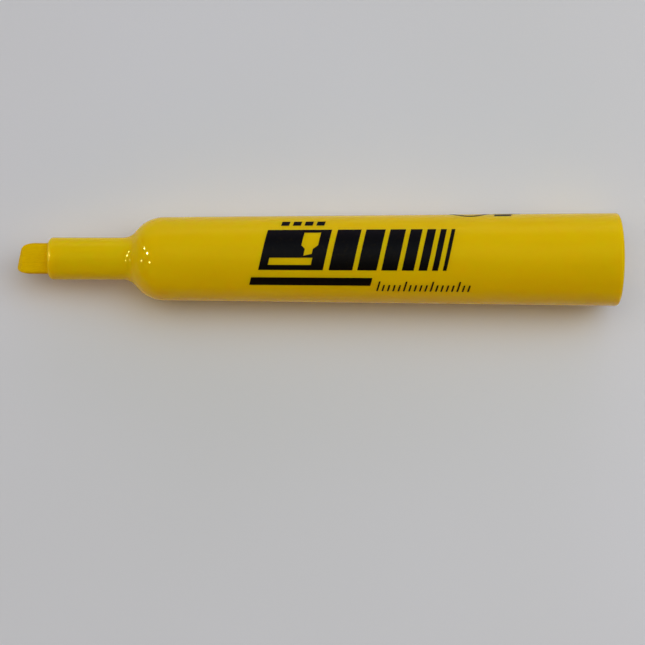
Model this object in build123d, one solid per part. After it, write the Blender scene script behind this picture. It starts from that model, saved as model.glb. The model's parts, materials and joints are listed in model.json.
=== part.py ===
from build123d import *
import os
from math import cos, radians, sin, tan

# Tank highlighter with its cap off, lying on its side: a one-piece moulded barrel whose front
# end is drawn in to a slim nozzle, a chisel nib held in the nozzle, a fibre ink reservoir in a
# film sleeve with a breather tube, and a plug pressed into the rear of the barrel.
#
# Frame: millimetres, +Z up, X along the pen with the nib at -X. The origin is at the middle of
# the length, level with the lowest point of the barrel's rear rim. Sections are drawn as
# (x, radius) about the pen's axis, and every piece is lifted to AXIS_Z as it is written.

# Driving dimensions
OVERALL_LENGTH = 114.1
BARREL_REAR_R = 8.85        # where the barrel's taper meets the rear face
BARREL_FRONT_R = 7.9        # where the barrel's taper meets the shoulder's slope
TANK_LENGTH = 89.5          # rear rim to that same corner
SHOULDER_SLOPE = 52.0       # degrees from the axis, between the two shoulder curves
SHOULDER_ROUND = 6.8        # convex curve into the barrel
ROOT_ROUND = 3.1            # concave curve into the nozzle
NOZZLE_R = 4.02
NOZZLE_ROUND = 0.95         # front edge of the nozzle
RIM_ROUND = 0.65            # rear edge of the barrel
NIB_EXPOSED = 5.95

# Barrel, inside
WALL = 1.25
TANK_REAR_R = 7.1           # tank radius beside the plug's ledge
PLUG_SEAT_R = 7.6
PLUG_SEAT_DEPTH = 7.05      # rear rim to the ledge
SEAT_LEAD_IN = 0.25
BORE_R = 3.2                # round bore along the nozzle
LIP_LENGTH = 1.8            # front wall of the nozzle, which the nib's slot goes through
SLOT_GAP = 0.06             # clearance round the nib in that slot
VENT_WIDTH, VENT_DEPTH = 1.1, 0.4
GRIP_RIB_WIDTH, GRIP_RIB_OFFSET, GRIP_RIB_LENGTH = 0.7, 1.5, 10.9
GRIP_CRUSH = 0.05           # how far a grip rib bites into the nib
TANK_RIB_COUNT, TANK_RIB_WIDTH = 6, 0.8
TANK_RIB_R = 6.15           # inner edges of the tank ribs, which centre the reservoir
STOP_RIB_R = 4.2            # inner edges of their front ends, which stop the reservoir

# Nib
NIB_WIDTH, NIB_THICKNESS, NIB_LENGTH = 5.85, 3.2, 33.0
NIB_EDGE_ROUND = 0.5
NIB_SLANT = 12.4            # degrees that the writing edge leans from square
NIB_BEVEL_LENGTH = 1.18     # each broad face falls away over this length, at 45 degrees
NIB_BEVEL_SLANT = 3.8       # degrees that the bevel's ridge leans the same way
NIB_HEEL_ROUND, NIB_TOE_ROUND = 2.0, 1.3
NIB_TAIL_TAPER = 2.5        # length of the blunt wedge that goes into the reservoir
NIB_TAIL_THICKNESS = 1.6

# Reservoir
RESERVOIR_LENGTH, CORE_R, FILM = 77.0, 6.0, 0.1
NIB_IN_RESERVOIR = 6.45     # how far the nib's tail is pushed into the fibre
BREATHER_R, BREATHER_BORE_R, BREATHER_GAP = 0.8, 0.5, 0.02

# Rear plug
PLUG_RECESS = 0.6           # outer face below the barrel's rim
PLUG_SKIRT_R, PLUG_SKIRT_WALL, PLUG_CHAMFER = 7.55, 1.1, 0.25
PLUG_WEB = 1.35
DISH_R, DISH_DEPTH = 5.6, 0.5
BEAD_R, BEAD_WIDTH, BEAD_STEPS = 7.66, 0.9, (1.9, 4.3)   # steps are from the outer face
GATE_R, GATE_HEIGHT = 0.7, 0.25
FIN_THICKNESS, FIN_R = 1.0, 5.6

# Places along the axis that follow from them
REAR_X = OVERALL_LENGTH / 2
TIP_X = -REAR_X
NOZZLE_X = TIP_X + NIB_EXPOSED
SHOULDER_X = REAR_X - TANK_LENGTH
LEDGE_X = REAR_X - PLUG_SEAT_DEPTH
NIB_TAIL_X = TIP_X + NIB_LENGTH
RESERVOIR_X = NIB_TAIL_X - NIB_IN_RESERVOIR
RESERVOIR_END_X = RESERVOIR_X + RESERVOIR_LENGTH
PLUG_FACE_X = REAR_X - PLUG_RECESS
AXIS_Z = BARREL_REAR_R


def revolved(corners, rounds):
    """A solid about the X axis from (x, radius) corners. Its first and last corners lie on the axis."""
    outline = FilletPolyline(*corners, radius=rounds) + Line(corners[-1], corners[0])
    return revolve(Plane.XZ * make_face(outline), Axis.X)


def bar(width, thickness, start, end, edge_round=0.0):
    """A straight bar along X from start to end, width along Y, with its long edges rounded."""
    section = RectangleRounded(width, thickness, edge_round) if edge_round else Rectangle(width, thickness)
    return extrude(Plane((start, 0, 0), x_dir=(0, 1, 0), z_dir=(1, 0, 0)) * section, end - start)


def cylinder(radius, start, end):
    """A round rod on the X axis from start to end."""
    return extrude(Plane((start, 0, 0), z_dir=(1, 0, 0)) * Circle(radius), end - start)


def barrel_outside():
    slope_length = (BARREL_FRONT_R - NOZZLE_R) / tan(radians(SHOULDER_SLOPE))
    corners = [
        (NOZZLE_X, 0),
        (NOZZLE_X, NOZZLE_R),
        (SHOULDER_X - slope_length, NOZZLE_R),
        (SHOULDER_X, BARREL_FRONT_R),
        (REAR_X, BARREL_REAR_R),
        (REAR_X, 0),
    ]
    return revolved(corners, [NOZZLE_ROUND, ROOT_ROUND, SHOULDER_ROUND, RIM_ROUND])


def barrel_inside():
    """The space that the core pin leaves: nozzle bore, tank and plug seat."""
    tank_front_r = BARREL_FRONT_R - WALL
    slope_length = (tank_front_r - BORE_R) / tan(radians(SHOULDER_SLOPE))
    tank_front_x = SHOULDER_X + WALL / 2
    corners = [
        (NOZZLE_X + LIP_LENGTH, 0),
        (NOZZLE_X + LIP_LENGTH, BORE_R),
        (tank_front_x - slope_length, BORE_R),
        (tank_front_x, tank_front_r),
        (LEDGE_X, TANK_REAR_R),
        (LEDGE_X, PLUG_SEAT_R),
        (REAR_X - SEAT_LEAD_IN, PLUG_SEAT_R),
        (REAR_X, PLUG_SEAT_R + SEAT_LEAD_IN),
        (REAR_X, 0),
    ]
    inner_shoulder_round = SHOULDER_ROUND - WALL
    return revolved(corners, [0.3, 1.5, inner_shoulder_round, 0, 0, 0, 0])


def nib_slot():
    """The opening in the nozzle's lip: the nib's section with clearance, and a vent notch on each broad side."""
    start, end = NOZZLE_X - 1, NOZZLE_X + LIP_LENGTH + 1
    opening = bar(NIB_WIDTH + 2 * SLOT_GAP, NIB_THICKNESS + 2 * SLOT_GAP, start, end, NIB_EDGE_ROUND)
    return opening + bar(VENT_WIDTH, NIB_THICKNESS + 2 * VENT_DEPTH, start, end)


def grip_ribs():
    """Four ribs along the bore that bite into the nib's broad faces and leave air paths between them."""
    start = NOZZLE_X + LIP_LENGTH
    face_z = NIB_THICKNESS / 2 - GRIP_CRUSH
    height = BORE_R + 0.3 - face_z
    rib = bar(GRIP_RIB_WIDTH, height, start, start + GRIP_RIB_LENGTH)
    spots = [(y, z) for y in (-GRIP_RIB_OFFSET, GRIP_RIB_OFFSET) for z in (-1, 1)]
    return [Pos(0, y, z * (face_z + height / 2)) * rib for y, z in spots]


def tank_ribs():
    """Ribs down the tank that centre the reservoir, with a step at their front that it stops against."""
    rib_end_x = RESERVOIR_END_X - 3
    corners = [
        (SHOULDER_X - 6, STOP_RIB_R),
        (RESERVOIR_X, STOP_RIB_R),
        (RESERVOIR_X, TANK_RIB_R),
        (rib_end_x - 2, TANK_RIB_R),
        (rib_end_x, BARREL_REAR_R),
        (SHOULDER_X - 6, BARREL_REAR_R),
    ]
    blade = extrude(Plane.XZ * make_face(Polyline(*corners, close=True)), TANK_RIB_WIDTH / 2, both=True)
    step = 360 / TANK_RIB_COUNT
    return [Rot(X=step * (i + 0.5)) * blade for i in range(TANK_RIB_COUNT)]


def barrel():
    outside = barrel_outside()
    ribs = [rib & outside for rib in tank_ribs()] + grip_ribs()
    return outside - barrel_inside() - nib_slot() + ribs


def nib():
    """A felt bar with a slanted chisel edge at the front and a blunt wedge at the back."""
    half_width, half_thick = NIB_WIDTH / 2, NIB_THICKNESS / 2
    slant, bevel_slant = radians(NIB_SLANT), radians(NIB_BEVEL_SLANT)
    toe_x = TIP_X - NIB_TOE_ROUND * ((1 + sin(slant)) / cos(slant) - 1)   # its rounding reaches TIP_X
    heel_x = toe_x + NIB_WIDTH * tan(slant)
    plan = FilletPolyline(
        (NIB_TAIL_X, half_width),
        (heel_x, half_width),
        (toe_x, -half_width),
        (NIB_TAIL_X, -half_width),
        radius=[NIB_HEEL_ROUND, NIB_TOE_ROUND],
    )
    plan += Line((NIB_TAIL_X, -half_width), (NIB_TAIL_X, half_width))
    bevel_x, taper_x = TIP_X + NIB_BEVEL_LENGTH, NIB_TAIL_X - NIB_TAIL_TAPER
    edge_z, tail_z = half_thick - NIB_BEVEL_LENGTH, NIB_TAIL_THICKNESS / 2
    upper = [(TIP_X, edge_z), (bevel_x, half_thick), (taper_x, half_thick), (NIB_TAIL_X, tail_z)]
    side = Plane.XZ * make_face(Polyline(*upper, *[(x, -z) for x, z in reversed(upper)], close=True))
    slab = extrude(Plane.XY * make_face(plan), half_thick, both=True)
    wedge = extrude(side, NIB_WIDTH, dir=(sin(bevel_slant), cos(bevel_slant), 0), both=True)
    rounded = bar(NIB_WIDTH, NIB_THICKNESS, TIP_X, NIB_TAIL_X, NIB_EDGE_ROUND)
    return slab & wedge & rounded


def breather_tube(radius=BREATHER_R, bore_radius=BREATHER_BORE_R):
    """A thin tube against the inside of the film, which lets air past the fibre."""
    tube = cylinder(radius, RESERVOIR_X, RESERVOIR_END_X)
    if bore_radius:
        tube -= cylinder(bore_radius, RESERVOIR_X, RESERVOIR_END_X)
    return Pos(0, 0, CORE_R - BREATHER_R - BREATHER_GAP) * tube


def reservoir_core():
    """The bonded fibre rod, with the dent that the nib's tail presses in it and the breather's groove."""
    groove = breather_tube(BREATHER_R + BREATHER_GAP, bore_radius=0)
    mouth = bar(2 * (BREATHER_R + BREATHER_GAP), BREATHER_R + 1, RESERVOIR_X, RESERVOIR_END_X)
    groove += Pos(0, 0, CORE_R - BREATHER_R - BREATHER_GAP + (BREATHER_R + 1) / 2) * mouth
    return cylinder(CORE_R, RESERVOIR_X, RESERVOIR_END_X) - groove - nib()


def reservoir_film():
    """The film sleeve round the fibre and the breather tube."""
    outer = cylinder(CORE_R + FILM, RESERVOIR_X, RESERVOIR_END_X)
    return outer - cylinder(CORE_R, RESERVOIR_X, RESERVOIR_END_X)


def plug_beads():
    """Rounded rings round the plug's skirt that seal against the barrel."""
    rise = BEAD_R - PLUG_SKIRT_R
    crest_r = (BEAD_WIDTH ** 2 / 4 + rise ** 2) / (2 * rise)
    section = Plane.XZ * Pos(0, BEAD_R - crest_r) * Circle(crest_r)
    ring = revolve(section & Plane.XZ * Pos(0, BEAD_R) * Rectangle(2 * BEAD_WIDTH, 0.4), Axis.X)
    return [Pos(PLUG_FACE_X - step, 0, 0) * ring for step in BEAD_STEPS]


def rear_plug():
    web_x = PLUG_FACE_X - DISH_DEPTH - PLUG_WEB
    skirt_inner_r = PLUG_SKIRT_R - PLUG_SKIRT_WALL
    corners = [
        (PLUG_FACE_X - DISH_DEPTH, 0),
        (PLUG_FACE_X - DISH_DEPTH, DISH_R - DISH_DEPTH),
        (PLUG_FACE_X, DISH_R),
        (PLUG_FACE_X, PLUG_SKIRT_R),
        (LEDGE_X + PLUG_CHAMFER, PLUG_SKIRT_R),
        (LEDGE_X, PLUG_SKIRT_R - PLUG_CHAMFER),
        (LEDGE_X, skirt_inner_r),
        (web_x, skirt_inner_r),
        (web_x, 0),
    ]
    body = revolved(corners, [0.3, 0.2, 0.25, 0, 0, 0, 0.5])
    gate_x = PLUG_FACE_X - DISH_DEPTH
    gate = cylinder(GATE_R, gate_x - 0.1, gate_x + GATE_HEIGHT)
    fin = bar(2 * FIN_R, FIN_THICKNESS, RESERVOIR_END_X, web_x + 0.1)
    return body + plug_beads() + gate + fin + Rot(X=90) * fin


PIECES = {
    "barrel": barrel,
    "rear_plug": rear_plug,
    "nib": nib,
    "reservoir_core": reservoir_core,
    "reservoir_film": reservoir_film,
    "breather_tube": breather_tube,
}

os.makedirs("parts", exist_ok=True)
for name, make in PIECES.items():
    piece = Pos(0, 0, AXIS_Z) * make()
    export_step(piece, f"parts/{name}.step")
    print(f"{name}: {len(piece.solids())} solid, {piece.volume:.1f} mm3")
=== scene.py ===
import json
import math

import bmesh
import bpy
from mathutils import Matrix, Vector, noise


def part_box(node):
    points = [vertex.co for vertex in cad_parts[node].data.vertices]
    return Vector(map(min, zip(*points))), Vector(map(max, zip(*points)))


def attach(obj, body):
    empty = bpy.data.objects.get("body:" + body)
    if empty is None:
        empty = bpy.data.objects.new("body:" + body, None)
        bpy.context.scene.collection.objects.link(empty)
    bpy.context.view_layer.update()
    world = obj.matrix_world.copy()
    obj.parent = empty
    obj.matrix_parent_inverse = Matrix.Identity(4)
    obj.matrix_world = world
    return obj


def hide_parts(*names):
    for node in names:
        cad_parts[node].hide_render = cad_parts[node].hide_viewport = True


# A yellow tank highlighter with its cap off, lying on pale paper, seen from straight above.
# The barrel and the plug keep the CAD parts' shape, as one smooth skin each. The hidden ink
# reservoir is the CAD parts with new materials. The felt nib and the black printing on the barrel
# are made here. Lengths are metres, as in the frame.

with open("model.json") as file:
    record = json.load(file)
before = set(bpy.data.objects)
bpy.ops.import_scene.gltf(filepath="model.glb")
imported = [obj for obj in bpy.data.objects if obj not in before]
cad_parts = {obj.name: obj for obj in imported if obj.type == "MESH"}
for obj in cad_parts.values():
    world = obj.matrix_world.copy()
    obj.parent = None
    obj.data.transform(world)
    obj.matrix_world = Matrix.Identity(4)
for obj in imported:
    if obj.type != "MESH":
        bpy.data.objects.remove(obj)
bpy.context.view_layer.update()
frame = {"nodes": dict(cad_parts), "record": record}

MM = 0.001
MOUNTS = {mount["name"]: mount for mount in frame["record"]["mounts"]}
BARREL_LOW, BARREL_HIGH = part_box("barrel")
NIB_LOW, NIB_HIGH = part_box("nib")
AXIS_Z = MOUNTS["cap_seat"]["pos_m"][2]
NOZZLE_X, REAR_X = BARREL_LOW.x, BARREL_HIGH.x

# The barrel's outside is a cone between the shoulder and the rear rim. It would meet the
# shoulder's slope at BARREL_FRONT_R, if the corner there weren't rounded
BARREL_REAR_R = AXIS_Z
BARREL_FRONT_R, CONE_LENGTH = 7.9 * MM, 89.5 * MM
BARREL_TAPER = (BARREL_REAR_R - BARREL_FRONT_R) / CONE_LENGTH

# Faces that meet at more than this, in degrees, keep a crisp edge between them
MOULDED_CREASE, INK_CREASE, FELT_CREASE = 30, 50, 60

# Nib, as the CAD part has it but with its corners worn longer. A corner's rounding is an ellipse,
# (along the pen, across it)
NIB_SLANT = math.radians(12.4)
NIB_BEVEL_LENGTH = 1.18 * MM
NIB_BEVEL_SLANT = math.radians(3.8)
NIB_BEVEL_BLEND = 0.12 * MM        # how softly the bevels run into the writing edge
NIB_HEEL_ROUND = (2.8 * MM, 1.45 * MM)
NIB_TOE_ROUND = (2.6 * MM, 1.1 * MM)
NIB_EDGE_ROUND = 0.5 * MM
NIB_CROWN = 0.32 * MM              # how far a broad face falls away at its sides
NIB_TAIL_TAPER, NIB_TAIL_THICKNESS = 2.5 * MM, 1.6 * MM

# Camera: looking straight down, from a little to the pen's -Y side
CAMERA_HEIGHT = 364 * MM          # above the pen's axis
CAMERA_X, CAMERA_Y = 0.9 * MM, -12.06 * MM
CAMERA_ROLL = math.radians(0.105)
VIEW_WIDTH = 122.55 * MM          # what the frame covers at the pen's axis

# Light
DOME_REACH = 0.5                  # how far the dome's lights spread along the pen: less is further
DOME_FOCUS = 16.0                 # how narrow they are: more is narrower
GLINT_SIZE, GLINT_DISTANCE = 12 * MM, 0.8
MAIN_GLINT, SIDE_GLINT = 18.0, 3.6    # watts


# ---------------------------------------------------------------- shader helpers

class Nodes:
    """A material's node tree, with short calls for the nodes that the materials below share."""

    def __init__(self, name):
        self.material = bpy.data.materials.new(name)
        self.material.use_nodes = True
        self.tree = self.material.node_tree
        self.shader = self.tree.nodes["Principled BSDF"]
        self.coords = self.add("ShaderNodeTexCoord").outputs["Object"]
        self.split = None

    def add(self, kind, **settings):
        node = self.tree.nodes.new(kind)
        for key, value in settings.items():
            setattr(node, key, value)
        return node

    def link(self, source, target):
        self.tree.links.new(source, target)

    def set(self, **values):
        """Sets the shader's sockets, whose names are given with _ for a space."""
        for key, value in values.items():
            self.shader.inputs[key.replace("_", " ")].default_value = value

    def axis(self, name):
        """One of the object coordinates, in metres."""
        if self.split is None:
            self.split = self.add("ShaderNodeSeparateXYZ")
            self.link(self.coords, self.split.inputs[0])
        return self.split.outputs[name]

    def stretched(self, x, y, z):
        """Object coordinates with each axis scaled, in cells per metre."""
        mapping = self.add("ShaderNodeMapping")
        mapping.inputs["Scale"].default_value = (x, y, z)
        self.link(self.coords, mapping.inputs["Vector"])
        return mapping.outputs["Vector"]

    def noise(self, x, y=None, z=None, detail=2.0, roughness=0.5):
        y, z = y or x, z or x
        texture = self.add("ShaderNodeTexNoise")
        texture.inputs["Scale"].default_value = 1.0
        texture.inputs["Detail"].default_value = detail
        texture.inputs["Roughness"].default_value = roughness
        self.link(self.stretched(x, y, z), texture.inputs["Vector"])
        return texture.outputs["Fac"]

    def ramp(self, value, low, high, out_low=0.0, out_high=1.0):
        """Maps value from low..high to out_low..out_high, held at both ends."""
        node = self.add("ShaderNodeMapRange", clamp=True)
        self.link(value, node.inputs["Value"])
        spans = {"From Min": low, "From Max": high, "To Min": out_low, "To Max": out_high}
        for key, number in spans.items():
            node.inputs[key].default_value = number
        return node.outputs["Result"]

    def math(self, operation, a, b):
        node = self.add("ShaderNodeMath", operation=operation)
        for socket, value in zip(node.inputs, (a, b)):
            if isinstance(value, (int, float)):
                socket.default_value = value
            else:
                self.link(value, socket)
        return node.outputs["Value"]

    def mix(self, factor, color_a, color_b):
        node = self.add("ShaderNodeMix", data_type="RGBA")
        self.link(factor, node.inputs["Factor"])
        for socket, color in ((node.inputs[6], color_a), (node.inputs[7], color_b)):
            if isinstance(color, tuple):
                socket.default_value = (*color, 1.0)
            else:
                self.link(color, socket)
        return node.outputs[2]

    def bump(self, heights):
        """Bump from (height socket, depth in metres) pairs, one after another."""
        normal = None
        for height, depth in heights:
            node = self.add("ShaderNodeBump")
            node.inputs["Distance"].default_value = depth
            self.link(height, node.inputs["Height"])
            if normal:
                self.link(normal, node.inputs["Normal"])
            normal = node.outputs["Normal"]
        self.link(normal, self.shader.inputs["Normal"])

    def scratches(self, spacing, width, turn):
        """Hair-thin straight lines about spacing apart, turned about Z, broken up along their length."""
        mapping = self.add("ShaderNodeMapping")
        mapping.inputs["Rotation"].default_value = (0.0, 0.0, turn)
        mapping.inputs["Scale"].default_value = (0.06 / spacing, 1 / spacing, 1 / spacing)
        self.link(self.coords, mapping.inputs["Vector"])
        cells = self.add("ShaderNodeTexVoronoi", feature="DISTANCE_TO_EDGE")
        cells.inputs["Scale"].default_value = 1.0
        self.link(mapping.outputs["Vector"], cells.inputs["Vector"])
        line = self.ramp(cells.outputs["Distance"], 0.0, width / spacing, 1.0, 0.0)
        broken = self.ramp(self.noise(90.0, 260.0, 260.0), 0.56, 0.66)
        return self.math("MULTIPLY", line, broken)


# ---------------------------------------------------------------- materials

def barrel_plastic():
    """Glossy yellow polypropylene: a little light goes in, and handling has left hair scratches."""
    m = Nodes("barrel_plastic")
    clouds = m.noise(60.0, 140.0, 140.0, detail=3.0)
    flow = m.noise(25.0, 420.0, 420.0, detail=2.0)
    tone = m.math("ADD", m.math("MULTIPLY", clouds, 0.7), m.math("MULTIPLY", flow, 0.3))
    color = m.mix(m.ramp(tone, 0.35, 0.65), (0.745, 0.482, 0.0012), (0.775, 0.508, 0.0016))
    m.link(color, m.shader.inputs["Base Color"])
    hair = 0.02 * MM
    scratches = m.math("MAXIMUM", m.scratches(3.1 * MM, hair, 0.5), m.scratches(4.3 * MM, hair, -0.35))
    smears = m.ramp(m.noise(110.0, 240.0, 240.0, detail=4.0), 0.4, 0.7, 0.0, 0.05)
    roughness = m.math("ADD", m.math("ADD", 0.075, smears), m.math("MULTIPLY", scratches, 0.2))
    m.link(roughness, m.shader.inputs["Roughness"])
    m.set(
        IOR=1.49,
        Specular_IOR_Level=0.1,
        Specular_Tint=(1.0, 0.8, 0.1, 1.0),
        Subsurface_Weight=0.6,
        Subsurface_Radius=(1.0, 0.55, 0.03),
        Subsurface_Scale=3.0 * MM,
    )
    peel = m.noise(420.0, 420.0, 420.0, detail=1.0)
    grain = m.noise(5200.0, 5200.0, 5200.0, detail=2.0)
    m.bump([(peel, 0.012 * MM), (grain, 0.0006 * MM), (scratches, -0.0015 * MM)])
    return m.material


def plug_plastic():
    """The same yellow in softer polyethylene, with a fine spark-eroded texture."""
    m = Nodes("plug_plastic")
    tone = m.ramp(m.noise(300.0, detail=3.0), 0.35, 0.65)
    color = m.mix(tone, (0.74, 0.475, 0.0014), (0.78, 0.51, 0.0018))
    m.link(color, m.shader.inputs["Base Color"])
    m.link(m.ramp(m.noise(900.0, detail=3.0), 0.3, 0.7, 0.26, 0.40), m.shader.inputs["Roughness"])
    m.set(
        IOR=1.51,
        Specular_IOR_Level=0.2,
        Specular_Tint=(1.0, 0.8, 0.2, 1.0),
        Subsurface_Weight=0.4,
        Subsurface_Radius=(1.0, 0.6, 0.04),
        Subsurface_Scale=1.5 * MM,
    )
    m.bump([(m.noise(9000.0, detail=3.0), 0.004 * MM)])
    return m.material


def nib_felt():
    """Bonded felt full of yellow ink: fine fibres along the pen, deeper where the ink gathers, and
    painted shade along its two narrow sides.
    """
    m = Nodes("nib_felt")
    fibres = m.noise(900.0, 8500.0, 8500.0, detail=4.0, roughness=0.6)
    pores = m.noise(4200.0, 9500.0, 9500.0, detail=2.0)
    soak = m.noise(420.0, detail=3.0)
    color = m.mix(m.ramp(soak, 0.3, 0.7), (0.77, 0.49, 0.0008), (0.84, 0.55, 0.001))
    color = m.mix(m.ramp(fibres, 0.66, 0.34, 0.0, 0.8), color, (0.66, 0.40, 0.0008))
    color = m.mix(m.ramp(pores, 0.34, 0.26, 0.0, 0.5), color, (0.50, 0.27, 0.0008))
    # Painted shade: the felt darkens over the last 0.5 mm towards each narrow side, where its rounded
    # edges turn away from the light.
    across = m.math("ABSOLUTE", m.axis("Y"), 0.0)
    color = m.mix(m.ramp(across, NIB_HIGH.y - 0.5 * MM, NIB_HIGH.y), color, (0.58, 0.35, 0.0006))
    m.link(color, m.shader.inputs["Base Color"])
    m.link(m.ramp(fibres, 0.3, 0.7, 0.68, 0.5), m.shader.inputs["Roughness"])
    m.set(
        IOR=1.40,
        Specular_IOR_Level=0.1,
        Specular_Tint=(1.0, 0.7, 0.05, 1.0),
        Subsurface_Weight=0.3,
        Subsurface_Radius=(1.0, 0.6, 0.05),
        Subsurface_Scale=0.5 * MM,
    )
    m.bump([(fibres, 0.02 * MM), (pores, 0.01 * MM)])
    return m.material


def print_ink():
    """Black pad-printed ink: satin, a shade browner where it lies thin."""
    m = Nodes("print_ink")
    thin = m.ramp(m.noise(1500.0, 1500.0, 1500.0, detail=3.0), 0.55, 0.75)
    color = m.mix(thin, (0.0016, 0.0014, 0.0014), (0.006, 0.004, 0.001))
    m.link(color, m.shader.inputs["Base Color"])
    m.link(m.ramp(m.noise(2500.0, detail=3.0), 0.3, 0.7, 0.34, 0.48), m.shader.inputs["Roughness"])
    m.set(IOR=1.45, Specular_IOR_Level=0.06)
    m.bump([(m.noise(6000.0, detail=2.0), 0.0012 * MM)])
    return m.material


def reservoir_fibre():
    """Crimped fibres bonded into a rod, all soaked with ink."""
    m = Nodes("reservoir_fibre")
    fibres = m.noise(500.0, 9000.0, 9000.0, detail=4.0, roughness=0.6)
    color = m.mix(m.ramp(fibres, 0.35, 0.65), (0.62, 0.50, 0.02), (0.86, 0.78, 0.10))
    m.link(color, m.shader.inputs["Base Color"])
    m.set(Roughness=0.7, IOR=1.4, Sheen_Weight=0.2)
    m.bump([(fibres, 0.06 * MM)])
    return m.material


def clear_film():
    """Thin clear film, with the draw lines of its extrusion."""
    m = Nodes("clear_film")
    lines = m.noise(40.0, 3000.0, 3000.0, detail=2.0)
    m.link(m.ramp(lines, 0.3, 0.7, 0.10, 0.22), m.shader.inputs["Roughness"])
    m.set(Base_Color=(0.92, 0.92, 0.88, 1.0), IOR=1.5, Transmission_Weight=0.9)
    m.bump([(lines, 0.004 * MM)])
    return m.material


def tube_plastic():
    """Natural polyethylene tube: milky, waxy and finely drawn along its length."""
    m = Nodes("tube_plastic")
    lines = m.noise(60.0, 5000.0, 5000.0, detail=2.0)
    color = m.mix(m.ramp(lines, 0.3, 0.7), (0.80, 0.80, 0.77), (0.88, 0.88, 0.85))
    m.link(color, m.shader.inputs["Base Color"])
    m.set(Roughness=0.35, IOR=1.51, Subsurface_Weight=0.3, Subsurface_Scale=0.5 * MM)
    m.bump([(lines, 0.003 * MM)])
    return m.material


def paper():
    """The sheet under the pen: matte and nearly white, with a faint tooth."""
    m = Nodes("paper")
    drift = m.noise(9.0, detail=2.0)
    color = m.mix(m.ramp(drift, 0.3, 0.7), (0.735, 0.735, 0.72), (0.76, 0.76, 0.76))
    m.link(color, m.shader.inputs["Base Color"])
    m.set(Roughness=0.85, Specular_IOR_Level=0.0)
    m.bump([(m.noise(2600.0, detail=3.0), 0.01 * MM)])
    return m.material


# ---------------------------------------------------------------- mesh helpers

def mesh_object(name, points, faces, material, crease):
    """A new piece from points and faces, finished as add_object does."""
    mesh = bpy.data.meshes.new(name)
    mesh.from_pydata(points, [], faces)
    mesh.validate()
    return add_object(name, mesh, material, crease)


def add_object(name, mesh, material, crease):
    """Links a mesh with outward, smooth faces that break only at edges sharper than the crease."""
    bm = bmesh.new()
    bm.from_mesh(mesh)
    bmesh.ops.recalc_face_normals(bm, faces=bm.faces)
    bm.to_mesh(mesh)
    bm.free()
    mesh.shade_smooth()
    mesh.set_sharp_from_angle(angle=math.radians(crease))
    mesh.materials.append(material)
    piece = bpy.data.objects.new(name, mesh)
    bpy.context.scene.collection.objects.link(piece)
    return piece


def moulded(name, node_name, material):
    """A CAD node's own shape as one skin. The CAD part keeps each of its faces apart, which shows
    as a line in the gloss wherever two of them run smoothly into each other."""
    weld_distance = 0.001 * MM
    bm = bmesh.new()
    bm.from_mesh(frame["nodes"][node_name].data)
    bmesh.ops.remove_doubles(bm, verts=bm.verts, dist=weld_distance)
    bm.verts.index_update()
    points = [vert.co.copy() for vert in bm.verts]
    faces = [[vert.index for vert in face.verts] for face in bm.faces]
    bm.free()
    piece = mesh_object(name, points, faces, material, MOULDED_CREASE)
    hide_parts(node_name)
    return piece


def barrel():
    """The barrel, nozzle and shoulder, as the CAD part has them."""
    piece = moulded("moulded_barrel", "barrel", barrel_plastic())
    return piece


def rear_plug():
    """The plug pressed into the barrel's rear end, as the CAD part has it."""
    piece = moulded("moulded_plug", "rear_plug", plug_plastic())
    return piece


# ---------------------------------------------------------------- nib

def nib_plan_x(y, half_width):
    """The writing edge's x at y: a slanted line with its heel and toe rounded. The line is placed
    so that the foremost point of the toe's rounding is at the CAD nib's front."""
    slope = math.tan(NIB_SLANT)
    along, across = NIB_TOE_ROUND
    turn = math.atan(slope * across / along)
    toe_x = NIB_LOW.x - across * (1 + math.sin(turn)) * slope + along * (1 - math.cos(turn))

    def line(at):
        return toe_x + (at + half_width) * slope

    for side, (along, across) in ((1, NIB_HEEL_ROUND), (-1, NIB_TOE_ROUND)):
        turn = math.atan(slope * across / along)
        centre_y = side * (half_width - across)
        meets_y = centre_y + across * math.sin(turn)
        if side * (y - meets_y) > 0:
            centre_x = line(meets_y) + along * math.cos(turn)
            return centre_x - along * math.sqrt(max(0.0, 1 - ((y - centre_y) / across) ** 2))
    return line(y)


def soft_max(a, b, blend):
    """The larger of two lengths, with the crease between them rounded over blend."""
    return (a + b + math.sqrt((a - b) ** 2 + blend ** 2)) / 2


def nib_front_x(y, z, half_width, half_thick):
    """The nib's foremost x at (y, z): its writing edge, or the bevel of a broad face behind it."""
    bevel_x = NIB_LOW.x + NIB_BEVEL_LENGTH + y * math.tan(NIB_BEVEL_SLANT) - (half_thick - abs(z))
    return soft_max(nib_plan_x(y, half_width), bevel_x, NIB_BEVEL_BLEND)


def rounded_rectangle(half_width, half_thick, radius, per_metre):
    """Evenly spaced points round a rectangle with rounded corners, centred on the origin."""
    points = []
    for quarter in range(4):
        turn = quarter * math.pi / 2
        across, up = (half_width, half_thick) if quarter % 2 == 0 else (half_thick, half_width)
        steps = max(3, round(radius * math.pi / 2 * per_metre))
        for i in range(steps):
            angle = i / steps * math.pi / 2
            x = across - radius + radius * math.cos(angle)
            y = up - radius + radius * math.sin(angle)
            points.append(Matrix.Rotation(turn, 2) @ Vector((x, y)))
        run = 2 * (across - radius)
        steps = max(2, round(run * per_metre))
        for i in range(steps):
            x = across - radius - run * i / steps
            points.append(Matrix.Rotation(turn, 2) @ Vector((x, up)))
    return points


def felt_rise(point, spread):
    """How far the felt's surface stands out at a point: long fibres, and the lumps of use."""
    along, across, lumps = 500, 6500, 900        # noise cells per metre
    fibre = noise.noise(Vector((point.x * along, point.y * across, point.z * across)))
    lump = noise.noise(point * lumps)
    return spread * (0.6 * fibre + 0.4 * lump)


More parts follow.
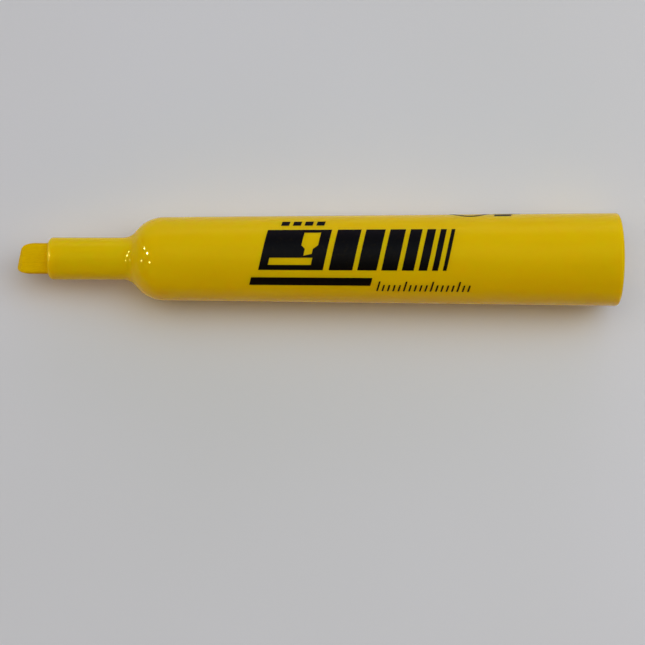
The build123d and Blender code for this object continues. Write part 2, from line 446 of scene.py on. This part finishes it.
def closed_rings(count, rings):
    """Faces of a closed skin: a first point, then rings of count points each, then a last point."""
    faces = [(0, 1 + i, 1 + (i + 1) % count) for i in range(count)]
    for ring in range(rings - 1):
        start = 1 + ring * count
        for i in range(count):
            j = (i + 1) % count
            faces.append((start + i, start + count + i, start + count + j, start + j))
    start = 1 + (rings - 1) * count
    last = start + count
    faces += [(start + i, last, start + (i + 1) % count) for i in range(count)]
    return faces


def nib():
    """The felt nib: one closed skin whose rings run from its writing edge round to its tail."""
    half_width = (NIB_HIGH.y - NIB_LOW.y) / 2
    half_thick = (NIB_HIGH.z - NIB_LOW.z) / 2
    point_spacing = 0.09 * MM
    outline = rounded_rectangle(half_width, half_thick, NIB_EDGE_ROUND, 1 / point_spacing)
    cap_rings, side_rings = 26, 90
    cap_ease, side_ease = 0.8, 1.7     # how the rings crowd towards the nib's front edges
    taper_x = NIB_HIGH.x - NIB_TAIL_TAPER
    tail_ratio = NIB_TAIL_THICKNESS / 2 / half_thick
    points = [Vector((nib_front_x(0.0, 0.0, half_width, half_thick), 0.0, 0.0))]
    for ring in range(1, cap_rings + 1):
        share = math.sin(ring / cap_rings * math.pi / 2) ** cap_ease
        for p in outline:
            y, z = p * share
            z *= 1 - NIB_CROWN / half_thick * (p.x / half_width) ** 2
            points.append(Vector((nib_front_x(y, z, half_width, half_thick), y, z)))
    for ring in range(1, side_rings + 1):
        along = (ring / side_rings) ** side_ease
        for p in outline:
            front_x = nib_front_x(p.x, p.y, half_width, half_thick)
            x = front_x + (NIB_HIGH.x - front_x) * along
            narrowing = 1 - (1 - tail_ratio) * max(0.0, (x - taper_x) / NIB_TAIL_TAPER)
            narrowing -= NIB_CROWN / half_thick * (p.x / half_width) ** 2
            points.append(Vector((x, p.x, p.y * narrowing)))
    points.append(Vector((NIB_HIGH.x, 0.0, 0.0)))

    faces = closed_rings(len(outline), cap_rings + side_rings)
    points = [point + Vector((0, 0, AXIS_Z)) for point in points]
    piece = mesh_object("nib_felt_tip", points, faces, nib_felt(), FELT_CREASE)
    wear_nib(piece.data)
    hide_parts("nib")
    return piece


def wear_nib(mesh):
    """Rounds the exposed edges as use does, and raises the felt's fibres a little."""
    exposed_x = NOZZLE_X + 0.5 * MM
    fade_length = MM
    rub_passes, rub_strength = 6, 0.5
    worn_depth, fibre_spread = 0.01 * MM, 0.014 * MM
    bm = bmesh.new()
    bm.from_mesh(mesh)
    exposed = [v for v in bm.verts if v.co.x < exposed_x]
    all_axes = {"use_axis_x": True, "use_axis_y": True, "use_axis_z": True}
    for _ in range(rub_passes):
        bmesh.ops.smooth_vert(bm, verts=exposed, factor=rub_strength, **all_axes)
    bm.normal_update()
    rises = [(v, v.normal * (felt_rise(v.co, fibre_spread) - worn_depth)) for v in exposed]
    for v, rise in rises:
        fade = min(1.0, (exposed_x - v.co.x) / fade_length)
        v.co += rise * fade
    bm.to_mesh(mesh)
    bm.free()
    mesh.set_sharp_from_angle(angle=math.radians(FELT_CREASE))


# ---------------------------------------------------------------- printing

INK_TOP, INK_BOTTOM = 0.014 * MM, -0.03 * MM    # from the barrel's surface
INK_STRIP_MM = 0.25                             # longest chord across the barrel's curve
PRINT_SLANT = math.tan(NIB_SLANT)               # the print leans as the nib's edge does
PRINT_MIDDLE_X = 8 * MM
PRINT_R = BARREL_REAR_R - (REAR_X - PRINT_MIDDLE_X) * BARREL_TAPER


def slanted_bar(x, v, width, height):
    """A bar from its lower left corner, leaning with the print's slant."""
    lean = height * PRINT_SLANT
    return [(x, v), (x + width, v), (x + width + lean, v + height), (x + lean, v + height)]


def circle(x, v, radius, count=72):
    """A circle round (x, v), as a many-sided outline."""
    angles = [2 * math.pi * i / count for i in range(count)]
    return [(x + radius * math.cos(a), v + radius * math.sin(a)) for a in angles]


def flat_mesh(name, outlines):
    """A flat plate with the outlines' shape, in mm. One outline inside another is a hole in it."""
    curve = bpy.data.curves.new(name, "CURVE")
    curve.dimensions = "2D"
    curve.fill_mode = "BOTH"
    curve.extrude = 0.5
    for outline in outlines:
        spline = curve.splines.new("POLY")
        spline.points.add(len(outline) - 1)
        for point, (x, v) in zip(spline.points, outline):
            point.co = (x, v, 0.0, 1.0)
        spline.use_cyclic_u = True
    flat = bpy.data.objects.new(name + "_flat", curve)
    bpy.context.scene.collection.objects.link(flat)
    bpy.context.view_layer.update()
    mesh = bpy.data.meshes.new_from_object(flat)
    bpy.data.objects.remove(flat)
    return mesh


def printed(name, outlines):
    """Ink on the barrel. Outlines are (x, v) in mm, v being the distance round the barrel from its
    top. The plate is cut into narrow strips, and its two faces are bent round the barrel."""
    merge_mm = 1e-4
    mesh = flat_mesh(name, outlines)
    bm = bmesh.new()
    bm.from_mesh(mesh)
    bmesh.ops.remove_doubles(bm, verts=bm.verts, dist=merge_mm)
    lowest = min(v.co.y for v in bm.verts)
    highest = max(v.co.y for v in bm.verts)
    for i in range(1, math.ceil((highest - lowest) / INK_STRIP_MM)):
        everything = bm.verts[:] + bm.edges[:] + bm.faces[:]
        cut = (0, lowest + i * INK_STRIP_MM, 0)
        bmesh.ops.bisect_plane(bm, geom=everything, plane_co=cut, plane_no=(0, 1, 0))
    for vert in bm.verts:
        x, v, level = vert.co
        x, v = x * MM, v * MM
        radius = BARREL_REAR_R - (REAR_X - x) * BARREL_TAPER
        radius += INK_TOP if level > 0 else INK_BOTTOM
        angle = v / PRINT_R
        vert.co = (x, radius * math.sin(angle), AXIS_Z + radius * math.cos(angle))
    bm.to_mesh(mesh)
    bm.free()
    piece = add_object(name, mesh, INK, INK_CREASE)
    return piece


def pen_outline(x, v):
    """A plain highlighter standing nib down, leaning with the print. Its nib's low corner is at
    (x, v)."""
    nib_width, shoulder, height = 1.5, 0.8, 4.7
    corners = [
        (0.0, 0.0),
        (nib_width, 0.35),
        (nib_width, 1.3),
        (nib_width + shoulder, 2.0),
        (nib_width + shoulder, height),
        (-shoulder, height),
        (-shoulder, 2.0),
        (0.0, 1.3),
    ]
    return [(x + across + up * PRINT_SLANT, v + up) for across, up in corners]


def main_print():
    """A slanted panel with a pen and its stroke left clear in it, and bars of falling width beside."""
    low, height = -2.4, 8.15
    panel = slanted_bar(-11.1, low, 12.0, height)
    stroke = slanted_bar(-9.3, low + 1.0, 8.0, 1.35)
    outlines = [panel, stroke, pen_outline(-2.7, 0.35)]
    x, gap = 2.0, 0.9
    for width in (4.4, 3.6, 2.9, 2.2, 1.6, 1.1, 0.7):
        outlines.append(slanted_bar(x, low, width, height))
        x += width + gap
    return printed("print_panel", outlines)


def rule_print():
    """A plain rule under the panel, cut at the ends as a chisel nib leaves them."""
    return printed("print_rule", [slanted_bar(-12.8, -5.6, 22.6, 1.7)])


def scale_print():
    """A short scale of ticks a millimetre apart, every fifth one longer."""
    ticks = []
    for i in range(18):
        height = 2.3 if i % 5 == 0 else 1.5
        ticks.append(slanted_bar(10.9 + i, -6.9, 0.32, height))
    return printed("print_scale", ticks)


def dash_print():
    """Four short dashes above the panel."""
    return printed("print_dashes", [slanted_bar(-6.9 + 2.2 * i, 6.9, 1.5, 1.3) for i in range(4)])


def ring_print():
    """On the far side: a ring with a bar across it, and plain bars beside it."""
    centre_x, centre_v = 28.7, 13.75
    outlines = [circle(centre_x, centre_v, 3.85), circle(centre_x, centre_v, 3.3)]
    outlines.append(slanted_bar(centre_x - 2.2, centre_v - 0.7, 4.2, 1.4))
    outlines += [slanted_bar(33.2, centre_v - 3.6 + 2.3 * i, 3.2 + 1.9 * i, 1.1) for i in range(4)]
    return printed("print_ring", outlines)


# ---------------------------------------------------------------- the set

def paper_floor():
    """A sheet tangent to the barrel's cone, so the whole underside of the barrel rests on it."""
    half_size = 3.0
    bpy.ops.mesh.primitive_plane_add(size=2 * half_size)
    floor = bpy.context.object
    floor.name = "paper_sheet"
    floor.rotation_euler.y = math.atan(BARREL_TAPER)
    floor.location = (REAR_X, 0.0, 0.0)
    floor.data.materials.append(paper())


def square_light(name, direction, distance, size, power):
    """A square area light that faces the pen's middle from a direction."""
    light = bpy.data.lights.new(name, "AREA")
    light.size = size
    light.energy = power
    lamp = bpy.data.objects.new(name, light)
    lamp.location = Vector((0, 0, AXIS_Z)) + Vector(direction).normalized() * distance
    lamp.rotation_euler = Vector(direction).to_track_quat("Z", "Y").to_euler()
    lamp.visible_camera = False
    bpy.context.scene.collection.objects.link(lamp)
    return lamp


def dome(bands):
    """The studio's wrap of light: soft bands, longer along the pen than across it, each given as
    (degrees up from the +Y horizon, lean towards the pen's rear end, colour)."""
    world = bpy.data.worlds.new("studio")
    world.use_nodes = True
    tree = world.node_tree

    def step(kind, operation, source, output, operand=None):
        """One operation on a socket, and on an operand where it takes one."""
        node = tree.nodes.new(kind)
        node.operation = operation
        tree.links.new(source, node.inputs[0])
        if operand is not None:
            node.inputs[1].default_value = operand
        return node.outputs[output]

    direction = tree.nodes.new("ShaderNodeTexCoord").outputs["Generated"]
    direction = step("ShaderNodeVectorMath", "MULTIPLY", direction, "Vector", (DOME_REACH, 1.0, 1.0))
    direction = step("ShaderNodeVectorMath", "NORMALIZE", direction, "Vector")
    total = None
    for elevation, lean, color in bands:
        angle = math.radians(elevation)
        towards = Vector((lean, math.cos(angle), math.sin(angle))).normalized()
        facing = step("ShaderNodeVectorMath", "DOT_PRODUCT", direction, "Value", towards)
        facing = step("ShaderNodeMath", "MAXIMUM", facing, "Value", 0.0)
        facing = step("ShaderNodeMath", "POWER", facing, "Value", DOME_FOCUS)
        tinted = tree.nodes.new("ShaderNodeVectorMath")
        tinted.operation = "SCALE"
        tinted.inputs[0].default_value = color
        tree.links.new(facing, tinted.inputs["Scale"])
        add = tree.nodes.new("ShaderNodeVectorMath")
        if total:
            tree.links.new(total, add.inputs[1])
        tree.links.new(tinted.outputs["Vector"], add.inputs[0])
        total = add.outputs["Vector"]
    tree.links.new(total, tree.nodes["Background"].inputs["Color"])
    bpy.context.scene.world = world


def light_only(lamps, pieces):
    """Keeps the lamps' light off everything but the pieces."""
    receivers = bpy.data.collections.new(lamps[0].name + "_receivers")
    for piece in pieces:
        receivers.objects.link(piece)
    for lamp in lamps:
        lamp.light_linking.receiver_collection = receivers


def studio(barrel_piece, nib_piece):
    """The dome, a soft fill at each end, and small lamps that show only as glints in the gloss."""
    side_window = (8, 0.0, (1.97, 1.61, 2.25))
    overhead = [(65, 0.2, (1.12, 1.70, 2.52)), (80, -0.1, (1.90, 1.60, 1.04))]
    far_wall = (165, 0.0, (0.98, 0.48, 0.10))
    dome([side_window, *overhead, far_wall])

    rear_fill = square_light("rear_fill", (0.74, 0.12, 0.66), distance=0.36, size=0.2, power=0.2)
    front_fill = square_light("front_fill", (-0.95, -0.1, 0.28), distance=0.35, size=0.2, power=0.17)
    light_only([front_fill], [barrel_piece, nib_piece])
    for fill in (rear_fill, front_fill):
        fill.visible_glossy = False

    places = [
        ((-0.779, 0.195, 0.595), MAIN_GLINT),
        ((-0.862, 0.363, 0.356), SIDE_GLINT),
        ((-0.695, -0.173, 0.698), SIDE_GLINT),
        ((-0.956, -0.079, 0.281), SIDE_GLINT),
    ]
    glints = []
    for i, (direction, power) in enumerate(places):
        lamp = square_light(f"glint_{i}", direction, GLINT_DISTANCE, GLINT_SIZE, power)
        lamp.visible_diffuse = False
        glints.append(lamp)
    light_only(glints, [barrel_piece])


def camera():
    """The photographer's view: straight down, framing a little more than the pen's length."""
    data = bpy.data.cameras.new("camera")
    data.lens = data.sensor_width * CAMERA_HEIGHT / VIEW_WIDTH
    eye = bpy.data.objects.new("camera", data)
    eye.location = (CAMERA_X, CAMERA_Y, AXIS_Z + CAMERA_HEIGHT)
    eye.rotation_euler = (0.0, 0.0, CAMERA_ROLL)
    bpy.context.scene.collection.objects.link(eye)
    bpy.context.scene.camera = eye
    bpy.context.scene.view_settings.view_transform = "Standard"


# ---------------------------------------------------------------- assembly

INK = print_ink()
FINISHES = {
    "reservoir_core": reservoir_fibre,
    "reservoir_film": clear_film,
    "breather_tube": tube_plastic,
}
for node_name, finish in FINISHES.items():
    node = frame["nodes"][node_name]
    node.data.materials.clear()
    node.data.materials.append(finish())

barrel_piece = barrel()
plug_piece = rear_plug()
nib_piece = nib()
prints = [make() for make in (main_print, rule_print, scale_print, dash_print, ring_print)]
for piece in (barrel_piece, plug_piece, nib_piece, *prints):
    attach(piece, "root")

paper_floor()
studio(barrel_piece, nib_piece)
camera()
